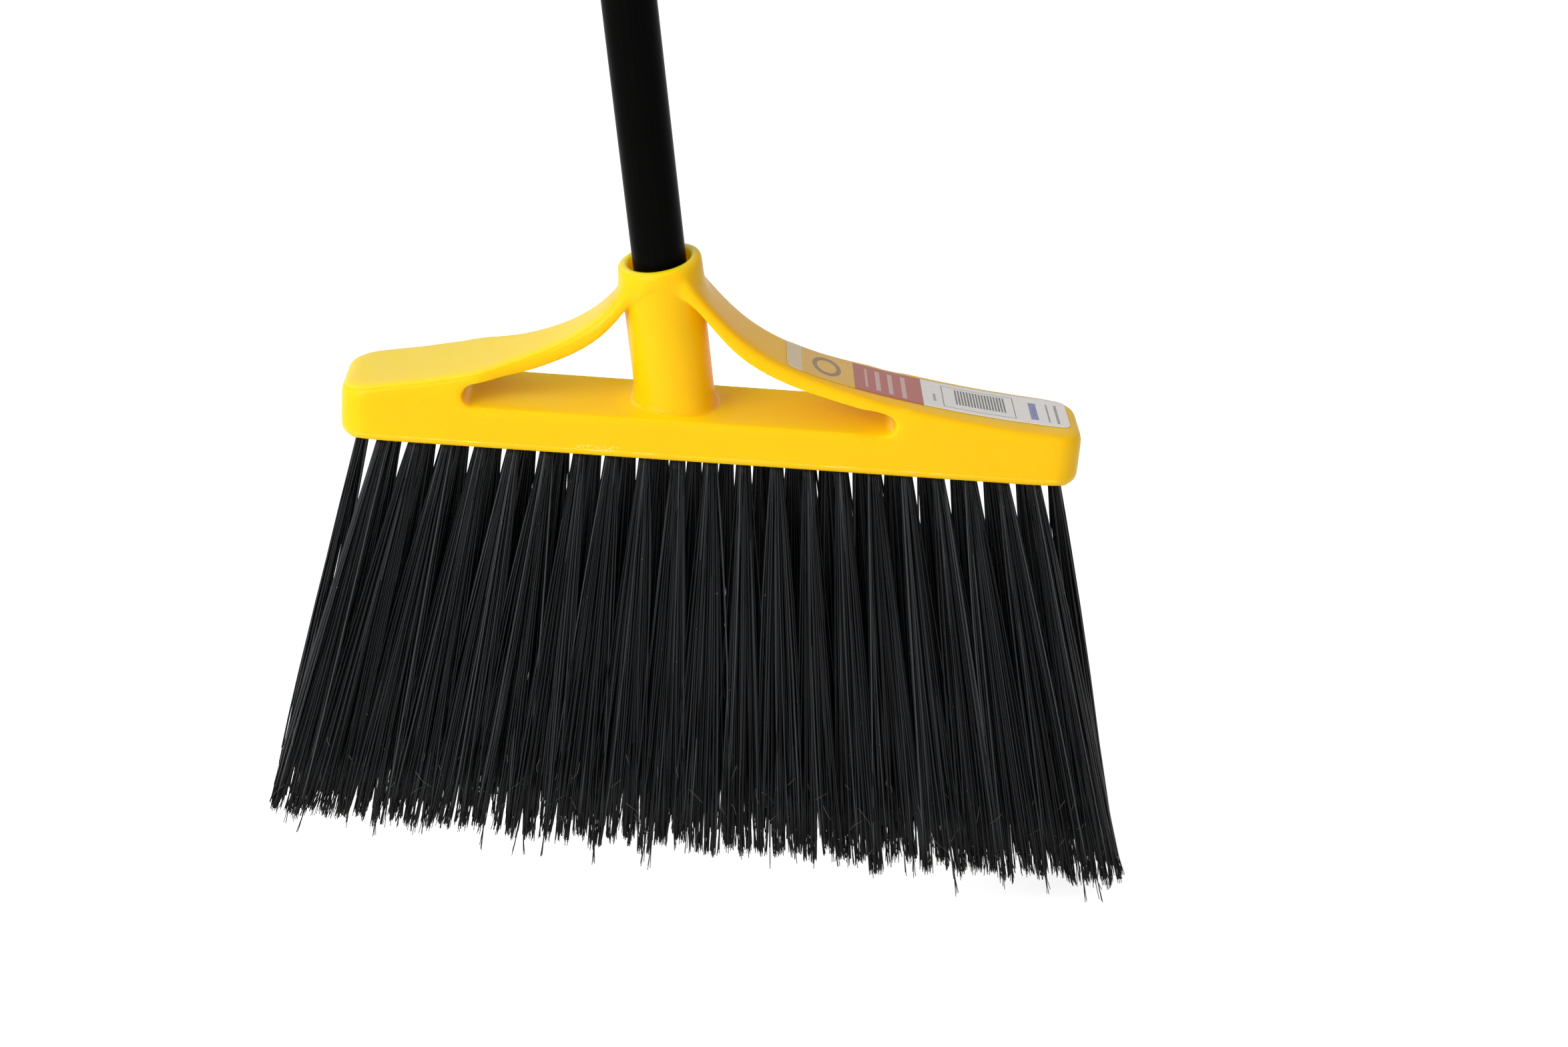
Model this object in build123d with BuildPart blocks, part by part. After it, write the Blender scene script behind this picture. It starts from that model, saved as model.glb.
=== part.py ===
from build123d import *
import os
from math import cos, radians, sin

os.makedirs("parts", exist_ok=True)

# Driving dimensions in millimetres. The frame: handle axis on Z, origin in the middle of the hang hole,
# +Y away from the front of the broom.

# Handle tube
handle_od = 22.2
handle_wall = 0.9
tube_length = 1180.0
bead_depth = 0.7
bead_width = 3.0
tip_bead_rise = 14.0
cap_bead_drop = 13.0

# Hang cap
hang_hole_dia = 10.0
hang_hole_edge = 1.0
cap_top_wall = 5.75
cap_skirt = 16.0
cap_flat_thickness = 13.0
cap_flat_drop = 8.0
cap_stem_length = 24.0
cap_stem_edge = 1.0
cap_dome_edge = 5.0

# Threaded tip
thread_pitch = 5.08
thread_major_dia = 19.0
thread_depth = 2.2
thread_root_width = 3.0
thread_crest_width = 1.7
thread_length = 25.0
thread_sink = 0.2
groove_start_turn = 90.0
tip_flange = 2.5
tip_lead = 2.5
tip_end_rise = 0.5
tip_end_edge = 1.0
tip_stem_length = 28.0
tip_stem_edge = 1.0
tip_relief = 1.5

# Broom block
block_length = 310.0
block_depth = 45.5
deck_height = 18.3
block_corner = 12.0
bottom_edge = 3.0
handle_angle = 9.8
socket_offset = 16.3
left_end_height = 22.2
right_end_height = 22.6

# Bridge arms
arm_edge = 3.0
window_edge = 1.5
left_neck_half = 12.4
left_neck_share = 0.75
left_flare_share = 0.9
right_neck_half = 17.0
right_neck_share = 0.67
right_flare_share = 0.9
left_rise = 9.2
left_reach = 22.3
left_sag_x = 70.1
left_sag_z = 35.4
left_crown_angle = 70.2
left_crown_reach = 27.5
right_fall = 2.1
right_reach = 77.2
right_sag_x = 25.0
right_sag_z = 43.6
right_crown_angle = 48.4
right_crown_reach = 50.0
crown_left_x = 38.1
crown_left_z = 76.0
crown_right_x = 13.9
crown_right_z = 77.0

# Windows under the arms
window_left_x = 104.0
window_left_radius = 4.8
window_right_x = 75.4
window_right_radius = 3.9
under_left_angle = 14.0
under_left_x = 75.0
under_left_z = 34.0
waist_left_x = 58.0
waist_left_z = 41.8
shoulder_left_x = 43.0
shoulder_left_z = 55.6
arch_x = 26.5
arch_z = 74.0
shoulder_right_x = 5.5
shoulder_right_z = 59.7
waist_right_x = 8.0
waist_right_z = 46.6
under_right_x = 30.0
under_right_z = 35.6
under_right_angle = 12.5

# Socket
socket_od = 33.6
collar_od = 35.4
rim_rise = 63.2
rim_edge = 1.6
mouth_edge = 1.6
socket_foot_edge = 1.5
socket_bore = 26.2
seat_rise = 29.0
socket_floor_drop = 0.5
collar_depth = 18.0

# Tufts
hole_dia = 6.6
hole_depth = 12.0
outer_row_count = 21
outer_row_pitch = 13.65
middle_row_count = 22
middle_row_pitch = 13.9
row_spacing = 14.5
strand_side = 1.5
strand_ring = 1.9
strand_tip_ring = 5.4
trim_length = 187.0
trim_slope = 1.6
flare_x = 1.3
flare_y = 1.45
flare_shift = 7.4
strand_root = 0.6
strand_ring_count = 6

# Tuft anchors
anchor_thickness = 0.5
anchor_length = 8.2
anchor_height = 2.0

# Label
label_thickness = 0.15
label_left_x = 28.5
label_right_x = 150.0
label_back_y = 15.0
label_front_y = 14.8

# Clearances
tip_stem_clearance = 0.05
cap_stem_clearance = 0.05
bead_clearance = 0.15
cap_gap = 0.3
seat_gap = 0.4
thread_clearance = 0.35
tuft_clearance = 0.05
anchor_clearance = 0.05
label_gap = 0.03

# Limits for choosing edges
touching = 0.01
nearly_along = 0.99
crown_margin = 0.5

# Derived sizes
handle_r = handle_od / 2
handle_inner_r = handle_r - handle_wall
tube_top_z = -(cap_skirt + cap_gap)
tube_foot_z = tube_top_z - tube_length
seat_z = tube_foot_z - tip_flange - seat_gap
deck_axis_z = seat_z - seat_rise
half_length = block_length / 2
half_depth = block_depth / 2
corner_x = half_length - block_corner
corner_y = half_depth - block_corner
left_full_x = window_left_x - window_left_radius
right_full_x = window_right_x - window_right_radius
left_neck_x = -crown_left_x - left_neck_share * (left_full_x - crown_left_x)
left_flare_x = -crown_left_x - left_flare_share * (left_full_x - crown_left_x)
right_neck_x = right_neck_share * (right_full_x + crown_right_x) - crown_right_x
right_flare_x = right_flare_share * (right_full_x + crown_right_x) - crown_right_x
lean = radians(handle_angle)

# Head frame: X along the block, Z square to its underside, leaning away from the handle axis
head_x = Vector(cos(lean), 0, -sin(lean))
head_z = Vector(sin(lean), 0, cos(lean))
head_origin = Vector(0, 0, deck_axis_z) + head_x * socket_offset - head_z * deck_height
under_plane = Plane(origin=head_origin, x_dir=head_x, z_dir=head_z)
front_plane = Plane(origin=head_origin, x_dir=head_x, z_dir=(0, -1, 0))
axis_plane = Plane(origin=(0, 0, deck_axis_z), x_dir=(1, 0, 0), z_dir=(0, 0, 1))


def local(shape):
    return under_plane.to_local_coords(shape.center())


def at_rim(edge):
    return abs(edge.center().Z - deck_axis_z - rim_rise) < touching


def aim(start, angle, reach):
    return (start[0] + reach * cos(radians(angle)), start[1] + reach * sin(radians(angle)))


# Points of the front outline of the arms
left_end = (-half_length, left_end_height)
left_crown = (-crown_left_x, crown_left_z)
right_crown = (-crown_right_x, crown_right_z)
right_end = (half_length, right_end_height)
left_sweep = (
    left_end,
    aim(left_end, left_rise, left_reach),
    (-left_sag_x, left_sag_z),
    aim(left_crown, left_crown_angle, -left_crown_reach),
    left_crown,
)
right_sweep = (
    right_crown,
    aim(right_crown, -right_crown_angle, right_crown_reach),
    (right_sag_x, right_sag_z),
    aim(right_end, -right_fall, -right_reach),
    right_end,
)

# Points of the window outline
left_foot = (-left_full_x, deck_height)
left_centre = (-left_full_x, deck_height + window_left_radius)
left_mid = aim(left_centre, 180, window_left_radius)
left_head = aim(left_centre, 90 + under_left_angle, window_left_radius)
right_foot = (right_full_x, deck_height)
right_centre = (right_full_x, deck_height + window_right_radius)
right_mid = aim(right_centre, 0, window_right_radius)
right_head = aim(right_centre, 90 - under_right_angle, window_right_radius)
under_line = (
    right_head,
    (under_right_x, under_right_z),
    (waist_right_x, waist_right_z),
    (-shoulder_right_x, shoulder_right_z),
    (-arch_x, arch_z),
    (-shoulder_left_x, shoulder_left_z),
    (-waist_left_x, waist_left_z),
    (-under_left_x, under_left_z),
    left_head,
)

under_ends = (aim((0, 0), 180 - under_right_angle, 1), aim((0, 0), 180 + under_left_angle, 1))

# Thread sizes shared by the tip and the socket
thread_major_r = thread_major_dia / 2
thread_root_r = thread_major_r - thread_depth
thread_foot_z = deck_axis_z + tip_lead
groove_foot_z = thread_foot_z - thread_pitch * groove_start_turn / 360
groove_rise = thread_length + thread_pitch
groove_root_half = thread_root_width / 2 + thread_clearance
groove_crest_half = thread_crest_width / 2 + thread_clearance

# Places along the handle axis
cap_top_z = hang_hole_dia / 2 + cap_top_wall
cap_stem_r = handle_inner_r - cap_stem_clearance
cap_stem_end_z = -cap_skirt - cap_stem_length
cap_bead_z = tube_top_z - cap_bead_drop
flat_tall = cap_top_z + cap_flat_drop
flat_mid_z = (cap_top_z - cap_flat_drop) / 2
cap_flat_y = (cap_flat_thickness + handle_od) / 2
tip_stem_r = handle_inner_r - tip_stem_clearance
tip_bead_z = tube_foot_z + tip_bead_rise
tip_end_z = deck_axis_z + tip_end_rise
ridge_rise = tube_foot_z - tip_flange - tip_relief - thread_root_width / 2 - thread_foot_z
bead_groove = bead_width + 2 * bead_clearance

# Tuft places on the underside
outer_start = -outer_row_pitch * (outer_row_count - 1) / 2
middle_start = -middle_row_pitch * (middle_row_count - 1) / 2
front_row = [(outer_start + i * outer_row_pitch, -row_spacing) for i in range(outer_row_count)]
middle_row = [(middle_start + i * middle_row_pitch, 0) for i in range(middle_row_count)]
back_row = [(outer_start + i * outer_row_pitch, row_spacing) for i in range(outer_row_count)]
tuft_points = front_row + middle_row + back_row
anchor_foot = hole_depth - anchor_height

# Bridge: the two arms and the raised ends, still with sharp edges
with BuildPart() as bridge:
    with BuildSketch(front_plane) as outline:
        with BuildLine():
            Line((-half_length, 0), left_end)
            Bezier(*left_sweep)
            Line(left_crown, right_crown)
            Bezier(*right_sweep)
            Line(right_end, (half_length, 0))
            Line((half_length, 0), (-half_length, 0))
        make_face()
    extrude(amount=block_depth, both=True)
    with BuildSketch(under_plane) as plan:
        with BuildLine():
            Line((-left_full_x, half_depth), (-corner_x, half_depth))
            RadiusArc((-corner_x, half_depth), (-half_length, corner_y), -block_corner)
            Line((-half_length, corner_y), (-half_length, -corner_y))
            RadiusArc((-half_length, -corner_y), (-corner_x, -half_depth), -block_corner)
            Line((-corner_x, -half_depth), (-left_full_x, -half_depth))
            Bezier(
                (-left_full_x, -half_depth),
                (left_flare_x, -half_depth),
                (left_neck_x, -left_neck_half),
                (-crown_left_x, -left_neck_half),
            )
            Line((-crown_left_x, -left_neck_half), (-crown_right_x, -right_neck_half))
            Bezier(
                (-crown_right_x, -right_neck_half),
                (right_neck_x, -right_neck_half),
                (right_flare_x, -half_depth),
                (right_full_x, -half_depth),
            )
            Line((right_full_x, -half_depth), (corner_x, -half_depth))
            RadiusArc((corner_x, -half_depth), (half_length, -corner_y), -block_corner)
            Line((half_length, -corner_y), (half_length, corner_y))
            RadiusArc((half_length, corner_y), (corner_x, half_depth), -block_corner)
            Line((corner_x, half_depth), (right_full_x, half_depth))
            Bezier(
                (right_full_x, half_depth),
                (right_flare_x, half_depth),
                (right_neck_x, right_neck_half),
                (-crown_right_x, right_neck_half),
            )
            Line((-crown_right_x, right_neck_half), (-crown_left_x, left_neck_half))
            Bezier(
                (-crown_left_x, left_neck_half),
                (left_neck_x, left_neck_half),
                (left_flare_x, half_depth),
                (-left_full_x, half_depth),
            )
        make_face()
    extrude(amount=2 * crown_right_z, mode=Mode.INTERSECT)

# Broom head: block, arms, collar and socket in one moulding
with BuildPart() as window:
    with BuildSketch(front_plane):
        with BuildLine():
            Line(left_foot, right_foot)
            ThreePointArc(right_foot, right_mid, right_head)
            Spline(*under_line, tangents=under_ends)
            ThreePointArc(left_head, left_mid, left_foot)
        make_face()
    extrude(amount=block_depth, both=True)

with BuildPart() as collar:
    with BuildSketch(axis_plane.offset(rim_rise - collar_depth)):
        Circle(collar_od / 2)
    extrude(amount=collar_depth)
    add(window.part, mode=Mode.SUBTRACT)

with BuildPart() as thread_groove:
    with BuildLine() as groove_path:
        Helix(thread_pitch, groove_rise, thread_root_r, center=(0, 0, groove_foot_z))
    with BuildSketch(Plane(origin=(0, 0, groove_foot_z), x_dir=(1, 0, 0), z_dir=(0, -1, 0))):
        with BuildLine():
            Polyline(
                (thread_root_r - thread_sink, -groove_root_half),
                (thread_major_r + thread_clearance, -groove_crest_half),
                (thread_major_r + thread_clearance, groove_crest_half),
                (thread_root_r - thread_sink, groove_root_half),
                close=True,
            )
        make_face()
    sweep(path=groove_path.wires()[0], is_frenet=True)

with BuildPart() as broom_head:
    add(bridge.part)
    top_rim = [
        e for e in broom_head.edges()
        if local(e).Z > min(left_end_height, right_end_height) - arm_edge / 4
        and not -crown_left_x - crown_margin < local(e).X < crown_margin - crown_right_x
        and abs((e % 0.5).dot(head_z)) < nearly_along
    ]
    fillet(top_rim, arm_edge)
    with BuildSketch(under_plane):
        RectangleRounded(block_length, block_depth, block_corner)
    extrude(amount=deck_height)
    add(window.part, mode=Mode.SUBTRACT)
    window_rim = [
        e for e in broom_head.edges(Select.LAST)
        if abs(e.center().Y) > left_neck_half / 2
        and abs((e % 0.5).Y) < 0.5
        and not (e.geom_type == GeomType.LINE and abs((e % 0.5).dot(head_z)) > nearly_along)
    ]
    deck_rim = [
        e for e in broom_head.edges()
        if abs(local(e).Z - deck_height) < touching and abs(local(e).Y) > half_depth - touching
    ]
    fillet(window_rim + deck_rim, window_edge)
    fillet([e for e in broom_head.edges() if abs(local(e).Z) < touching], bottom_edge)
    add(collar.part)
    with BuildSketch(axis_plane.offset(-deck_height / 2)):
        Circle(socket_od / 2)
    extrude(amount=rim_rise + deck_height / 2)
    ellipses = [e for e in broom_head.edges() if e.geom_type == GeomType.ELLIPSE]
    fillet([e for e in ellipses if abs(local(e).Z - deck_height) < touching], socket_foot_edge)
    with BuildSketch(axis_plane.offset(seat_rise)):
        Circle(socket_bore / 2)
    extrude(amount=rim_rise - seat_rise, mode=Mode.SUBTRACT)
    with BuildSketch(axis_plane.offset(-socket_floor_drop)):
        Circle(thread_root_r + thread_clearance)
    extrude(amount=seat_rise + socket_floor_drop, mode=Mode.SUBTRACT)
    rim_rings = [e for e in broom_head.edges() if e.geom_type == GeomType.CIRCLE and at_rim(e)]
    fillet([e for e in rim_rings if e.radius > (socket_bore + socket_od) / 4], rim_edge)
    mouth_rings = [e for e in broom_head.edges() if e.geom_type == GeomType.CIRCLE and at_rim(e)]
    fillet([e for e in mouth_rings if e.radius < socket_bore / 2 + touching], mouth_edge)
    add(thread_groove.part, rotation=(0, 0, -groove_start_turn), mode=Mode.SUBTRACT)
    with BuildSketch(under_plane):
        with Locations(*tuft_points):
            Circle(hole_dia / 2)
    extrude(amount=hole_depth, mode=Mode.SUBTRACT)
    with BuildSketch(under_plane.offset(anchor_foot - anchor_clearance)):
        with Locations(*tuft_points):
            Rectangle(anchor_thickness + 2 * anchor_clearance, anchor_length + 2 * anchor_clearance)
    extrude(amount=anchor_height + 2 * anchor_clearance, mode=Mode.SUBTRACT)
broom_head.part.label = "broom_head"
export_step(broom_head.part, "parts/broom_head.step")

# Handle tube with its two rolled beads
with BuildPart() as handle_tube:
    with BuildSketch(Plane.XZ):
        with BuildLine():
            Polyline(
                (handle_r, tube_top_z),
                (handle_r, cap_bead_z + bead_width / 2),
                (handle_r - bead_depth, cap_bead_z + bead_width / 4),
                (handle_r - bead_depth, cap_bead_z - bead_width / 4),
                (handle_r, cap_bead_z - bead_width / 2),
                (handle_r, tip_bead_z + bead_width / 2),
                (handle_r - bead_depth, tip_bead_z + bead_width / 4),
                (handle_r - bead_depth, tip_bead_z - bead_width / 4),
                (handle_r, tip_bead_z - bead_width / 2),
                (handle_r, tube_foot_z),
                (handle_inner_r, tube_foot_z),
                (handle_inner_r, tip_bead_z - bead_width / 2),
                (handle_inner_r - bead_depth, tip_bead_z - bead_width / 4),
                (handle_inner_r - bead_depth, tip_bead_z + bead_width / 4),
                (handle_inner_r, tip_bead_z + bead_width / 2),
                (handle_inner_r, cap_bead_z - bead_width / 2),
                (handle_inner_r - bead_depth, cap_bead_z - bead_width / 4),
                (handle_inner_r - bead_depth, cap_bead_z + bead_width / 4),
                (handle_inner_r, cap_bead_z + bead_width / 2),
                (handle_inner_r, tube_top_z),
                close=True,
            )
        make_face()
    revolve(axis=Axis.Z)
handle_tube.part.label = "handle_tube"
export_step(handle_tube.part, "parts/handle_tube.step")

# Threaded tip, rolled fast in the lower end of the tube
with BuildPart() as threaded_tip:
    with BuildSketch(Plane.XZ):
        with BuildLine():
            Polyline(
                (0, tube_foot_z + tip_stem_length),
                (tip_stem_r - tip_stem_edge, tube_foot_z + tip_stem_length),
                (tip_stem_r, tube_foot_z + tip_stem_length - tip_stem_edge),
                (tip_stem_r, tip_bead_z + bead_groove / 2),
                (tip_stem_r - bead_depth, tip_bead_z + bead_groove / 4 + bead_clearance / 2),
                (tip_stem_r - bead_depth, tip_bead_z - bead_groove / 4 - bead_clearance / 2),
                (tip_stem_r, tip_bead_z - bead_groove / 2),
                (tip_stem_r, tube_foot_z),
                (handle_r, tube_foot_z),
                (handle_r, tube_foot_z - tip_flange),
                (thread_root_r, tube_foot_z - tip_flange),
                (thread_root_r, tip_end_z + tip_end_edge),
                (thread_root_r - tip_end_edge, tip_end_z),
                (0, tip_end_z),
                close=True,
            )
        make_face()
    revolve(axis=Axis.Z)
    with BuildLine() as ridge_path:
        Helix(thread_pitch, ridge_rise, thread_root_r, center=(0, 0, thread_foot_z))
    with BuildSketch(Plane(origin=(0, 0, thread_foot_z), x_dir=(1, 0, 0), z_dir=(0, -1, 0))):
        with BuildLine():
            Polyline(
                (thread_root_r - thread_sink, -thread_root_width / 2),
                (thread_major_r, -thread_crest_width / 2),
                (thread_major_r, thread_crest_width / 2),
                (thread_root_r - thread_sink, thread_root_width / 2),
                close=True,
            )
        make_face()
    sweep(path=ridge_path.wires()[0], is_frenet=True)
threaded_tip.part.label = "threaded_tip"
export_step(threaded_tip.part, "parts/threaded_tip.step")

# Hang cap, turning on its stem in the top end of the tube
with BuildPart() as hang_cap:
    with BuildSketch(Plane.XZ):
        with BuildLine():
            Polyline(
                (0, cap_top_z),
                (handle_r, cap_top_z),
                (handle_r, -cap_skirt),
                (cap_stem_r, -cap_skirt),
                (cap_stem_r, cap_bead_z + bead_groove / 2),
                (cap_stem_r - bead_depth, cap_bead_z + bead_groove / 4 + bead_clearance / 2),
                (cap_stem_r - bead_depth, cap_bead_z - bead_groove / 4 - bead_clearance / 2),
                (cap_stem_r, cap_bead_z - bead_groove / 2),
                (cap_stem_r, cap_stem_end_z + cap_stem_edge),
                (cap_stem_r - cap_stem_edge, cap_stem_end_z),
                (0, cap_stem_end_z),
                close=True,
            )
        make_face()
    revolve(axis=Axis.Z)
    cap_rings = [e for e in hang_cap.edges() if e.geom_type == GeomType.CIRCLE]
    fillet([e for e in cap_rings if e.center().Z > cap_top_z - touching], cap_dome_edge)
    with BuildSketch(Plane.YZ):
        with Locations((cap_flat_y, flat_mid_z), (-cap_flat_y, flat_mid_z)):
            Rectangle(handle_od, flat_tall)
    extrude(amount=handle_od, both=True, mode=Mode.SUBTRACT)
    with BuildSketch(Plane.XZ):
        Circle(hang_hole_dia / 2)
    extrude(amount=handle_od, both=True, mode=Mode.SUBTRACT)
    chamfer([e for e in hang_cap.edges(Select.LAST) if e.geom_type == GeomType.CIRCLE], hang_hole_edge)
hang_cap.part.label = "hang_cap"
export_step(hang_cap.part, "parts/hang_cap.step")

# Label on the right arm
label_curve = [(p[0], p[1] + label_gap) for p in right_sweep]
label_cover = [(p[0], p[1] + label_gap + label_thickness) for p in right_sweep]
with BuildPart() as product_label:
    with BuildSketch(front_plane.offset(-label_back_y)):
        with BuildLine():
            Bezier(*label_curve)
            Line(label_curve[-1], label_cover[-1])
            Bezier(*label_cover)
            Line(label_cover[0], label_curve[0])
        make_face()
    extrude(amount=label_back_y + label_front_y)
    with BuildSketch(under_plane):
        with Locations(((label_left_x + label_right_x) / 2, 0)):
            Rectangle(label_right_x - label_left_x, block_depth)
    extrude(amount=2 * crown_right_z, mode=Mode.INTERSECT)
product_label.part.label = "product_label"
export_step(product_label.part, "parts/product_label.step")

# Steel anchors at the bottom of the tuft holes
with BuildPart() as tuft_anchors:
    with BuildSketch(under_plane.offset(anchor_foot)):
        with Locations(*tuft_points):
            Rectangle(anchor_thickness, anchor_length)
    extrude(amount=anchor_height)
tuft_anchors.part.label = "tuft_anchors"
export_step(tuft_anchors.part, "parts/tuft_anchors.step")

# Bristle tufts: a folded root in its hole and the strands that fan out to the trim plane
trim_plane = Plane(
    origin=head_origin - head_z * trim_length,
    x_dir=head_x * cos(radians(trim_slope)) - head_z * sin(radians(trim_slope)),
    z_dir=head_z * cos(radians(trim_slope)) + head_x * sin(radians(trim_slope)),
)
strand_turns = [radians(360 * i / strand_ring_count) for i in range(strand_ring_count)]
strand_spots = [(0, 0)] + [(cos(turn), sin(turn)) for turn in strand_turns]
columns = [
    middle_row[i:i + 1] + front_row[i:i + 1] + back_row[i:i + 1]
    for i in range(middle_row_count)
]
for number, column in enumerate(columns, start=1):
    with BuildPart() as tuft_column:
        with BuildSketch(under_plane):
            with Locations(*column):
                Circle(hole_dia / 2 - tuft_clearance)
        extrude(amount=hole_depth - tuft_clearance)
        with BuildSketch(under_plane.offset(anchor_foot - anchor_clearance)):
            with Locations(*column):
                Rectangle(anchor_thickness + 2 * anchor_clearance, hole_dia)
        extrude(amount=anchor_height + 2 * anchor_clearance, mode=Mode.SUBTRACT)
        strands = []
        for spot_x, spot_y in column:
            for step_x, step_y in strand_spots:
                root_at = (spot_x + strand_ring * step_x, spot_y + strand_ring * step_y)
                tip_at = (
                    (flare_shift + flare_x * spot_x + strand_tip_ring * step_x) / cos(radians(trim_slope)),
                    flare_y * spot_y + strand_tip_ring * step_y,
                )
                with BuildSketch(under_plane.offset(strand_root), mode=Mode.PRIVATE) as strand_start:
                    with Locations(root_at):
                        Rectangle(strand_side, strand_side)
                with BuildSketch(trim_plane, mode=Mode.PRIVATE) as strand_end:
                    with Locations(tip_at):
                        Rectangle(strand_side, strand_side)
                sides = [strand_start.sketch.faces()[0], strand_end.sketch.faces()[0]]
                strands.append(loft(sides, ruled=True, mode=Mode.PRIVATE))
        add(strands)
    tuft_name = f"tuft_column_{number:02d}"
    tuft_column.part.label = tuft_name
    export_step(tuft_column.part, f"parts/{tuft_name}.step")
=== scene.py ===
import math

import bmesh
import bpy
import numpy as np
from mathutils import Matrix, Vector
from mathutils.bvhtree import BVHTree


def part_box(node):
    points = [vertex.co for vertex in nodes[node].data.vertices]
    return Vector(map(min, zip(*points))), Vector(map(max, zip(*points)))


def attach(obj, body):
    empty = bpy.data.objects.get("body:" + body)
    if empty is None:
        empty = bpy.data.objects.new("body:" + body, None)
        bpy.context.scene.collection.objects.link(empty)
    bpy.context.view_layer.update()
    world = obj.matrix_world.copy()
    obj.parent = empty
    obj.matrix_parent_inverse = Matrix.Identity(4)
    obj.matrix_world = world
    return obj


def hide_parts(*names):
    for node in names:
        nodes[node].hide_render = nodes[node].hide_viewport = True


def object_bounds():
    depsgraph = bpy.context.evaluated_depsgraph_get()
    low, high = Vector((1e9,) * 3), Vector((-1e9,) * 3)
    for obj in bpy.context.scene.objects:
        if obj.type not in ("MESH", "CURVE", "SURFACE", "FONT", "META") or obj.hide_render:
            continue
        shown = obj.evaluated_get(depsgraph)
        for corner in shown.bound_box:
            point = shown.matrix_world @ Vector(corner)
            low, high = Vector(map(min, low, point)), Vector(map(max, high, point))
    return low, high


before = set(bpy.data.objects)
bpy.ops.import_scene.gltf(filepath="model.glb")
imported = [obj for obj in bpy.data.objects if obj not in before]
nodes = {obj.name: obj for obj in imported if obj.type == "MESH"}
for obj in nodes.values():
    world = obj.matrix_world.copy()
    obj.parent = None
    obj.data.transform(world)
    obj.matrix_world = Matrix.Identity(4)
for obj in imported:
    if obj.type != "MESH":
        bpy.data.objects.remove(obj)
cad_low, cad_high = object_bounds()
mm = 0.001

# Block frame: X along the block to its lower end, Y away from the front, Z square to its underside
block_lean = math.radians(9.8)
anchor_middle = 11.0
block_turn = Matrix.Rotation(block_lean, 3, "Y")
anchor_low, anchor_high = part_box("tuft_anchors")
block_origin = (anchor_low + anchor_high) / 2 - block_turn @ Vector((0, 0, anchor_middle)) * mm


def spot(x, y, z):
    """A point of the block frame, in millimetres, in the part's own frame."""
    return block_origin + block_turn @ Vector((x, y, z)) * mm


def block_points(points):
    """Points of the part's own frame, in metres, as rows of block coordinates in millimetres."""
    return (np.asarray(points) - np.array(block_origin)) @ np.array(block_turn) / mm


def part_points(points):
    """The way back from block_points."""
    return np.asarray(points) * mm @ np.array(block_turn).T + np.array(block_origin)


# Camera, at the photograph's viewing angle
camera_at = spot(-18.7, -979.4, 425.36)
camera_aim = spot(29.78, -75.5, 0.37)
camera_roll = math.radians(-5.66)
camera_lens = 57.65


def add_camera():
    camera = bpy.data.objects.new("camera", bpy.data.cameras.new("camera"))
    camera.data.lens = camera_lens
    camera.data.clip_end = 50
    turn = (camera_aim - camera_at).to_track_quat("-Z", "Y").to_matrix()
    turn = turn @ Matrix.Rotation(camera_roll, 3, "Z")
    camera.matrix_world = Matrix.Translation(camera_at) @ turn.to_4x4()
    bpy.context.scene.collection.objects.link(camera)
    bpy.context.scene.camera = camera


class Finish:
    """A material with a short way to add and link its nodes. Textures follow the part's own frame."""

    def __init__(self, name):
        self.material = bpy.data.materials.new(name)
        self.material.use_nodes = True
        self.tree = self.material.node_tree
        self.shader = self.tree.nodes["Principled BSDF"]
        self.place = self.add("TexCoord").outputs["Object"]

    def put(self, node, socket, value):
        if isinstance(value, bpy.types.NodeSocket):
            self.tree.links.new(value, node.inputs[socket])
        else:
            node.inputs[socket].default_value = value

    def add(self, kind, inputs=None, **settings):
        node = self.tree.nodes.new("ShaderNode" + kind)
        for name, value in settings.items():
            setattr(node, name, value)
        for socket, value in (inputs or {}).items():
            self.put(node, socket, value)
        return node

    def set(self, **inputs):
        for name, value in inputs.items():
            self.put(self.shader, name.replace("_", " "), value)

    def noise(self, scale, detail=2.0, roughness=0.5, place=None):
        inputs = {"Vector": place or self.place, "Scale": scale, "Detail": detail, "Roughness": roughness}
        return self.add("TexNoise", inputs).outputs["Fac"]

    def block_place(self):
        """Texture coordinates in the block frame, in metres."""
        shift = block_turn.transposed() @ -block_origin
        inputs = {"Vector": self.place, "Location": shift, "Rotation": (0, -block_lean, 0)}
        return self.add("Mapping", inputs).outputs["Vector"]

    def stretch(self, place, scale):
        return self.add("Mapping", {"Vector": place, "Scale": scale}).outputs["Vector"]

    def span(self, value, low, high, out_low=0.0, out_high=1.0):
        inputs = {"Value": value, "From Min": low, "From Max": high, "To Min": out_low, "To Max": out_high}
        return self.add("MapRange", inputs).outputs["Result"]

    def math(self, operation, first, second=0.0):
        return self.add("Math", {0: first, 1: second}, operation=operation).outputs[0]

    def near(self, value, middle, reach):
        """1 where the value is within reach of the middle, else 0."""
        return self.add("Math", {0: value, 1: middle, 2: reach}, operation="COMPARE").outputs[0]

    def product(self, first, *others):
        for other in others:
            first = self.math("MULTIPLY", first, other)
        return first

    def zone(self, axes, spans):
        """1 where each coordinate named in the spans is within its (middle, reach), else 0."""
        return self.product(*(self.near(axes[axis], *span) for axis, span in spans.items()))

    def length(self, vector):
        return self.add("VectorMath", {0: vector}, operation="LENGTH").outputs["Value"]

    def mix(self, factor, first, second):
        node = self.add("Mix", data_type="RGBA")
        for socket, value in ((0, factor), (6, first), (7, second)):
            self.put(node, socket, value)
        return node.outputs[2]

    def bump(self, height, distance, strength=1.0, below=None):
        inputs = {"Height": height, "Distance": distance, "Strength": strength}
        if below:
            inputs["Normal"] = below
        return self.add("Bump", inputs).outputs["Normal"]


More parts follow.
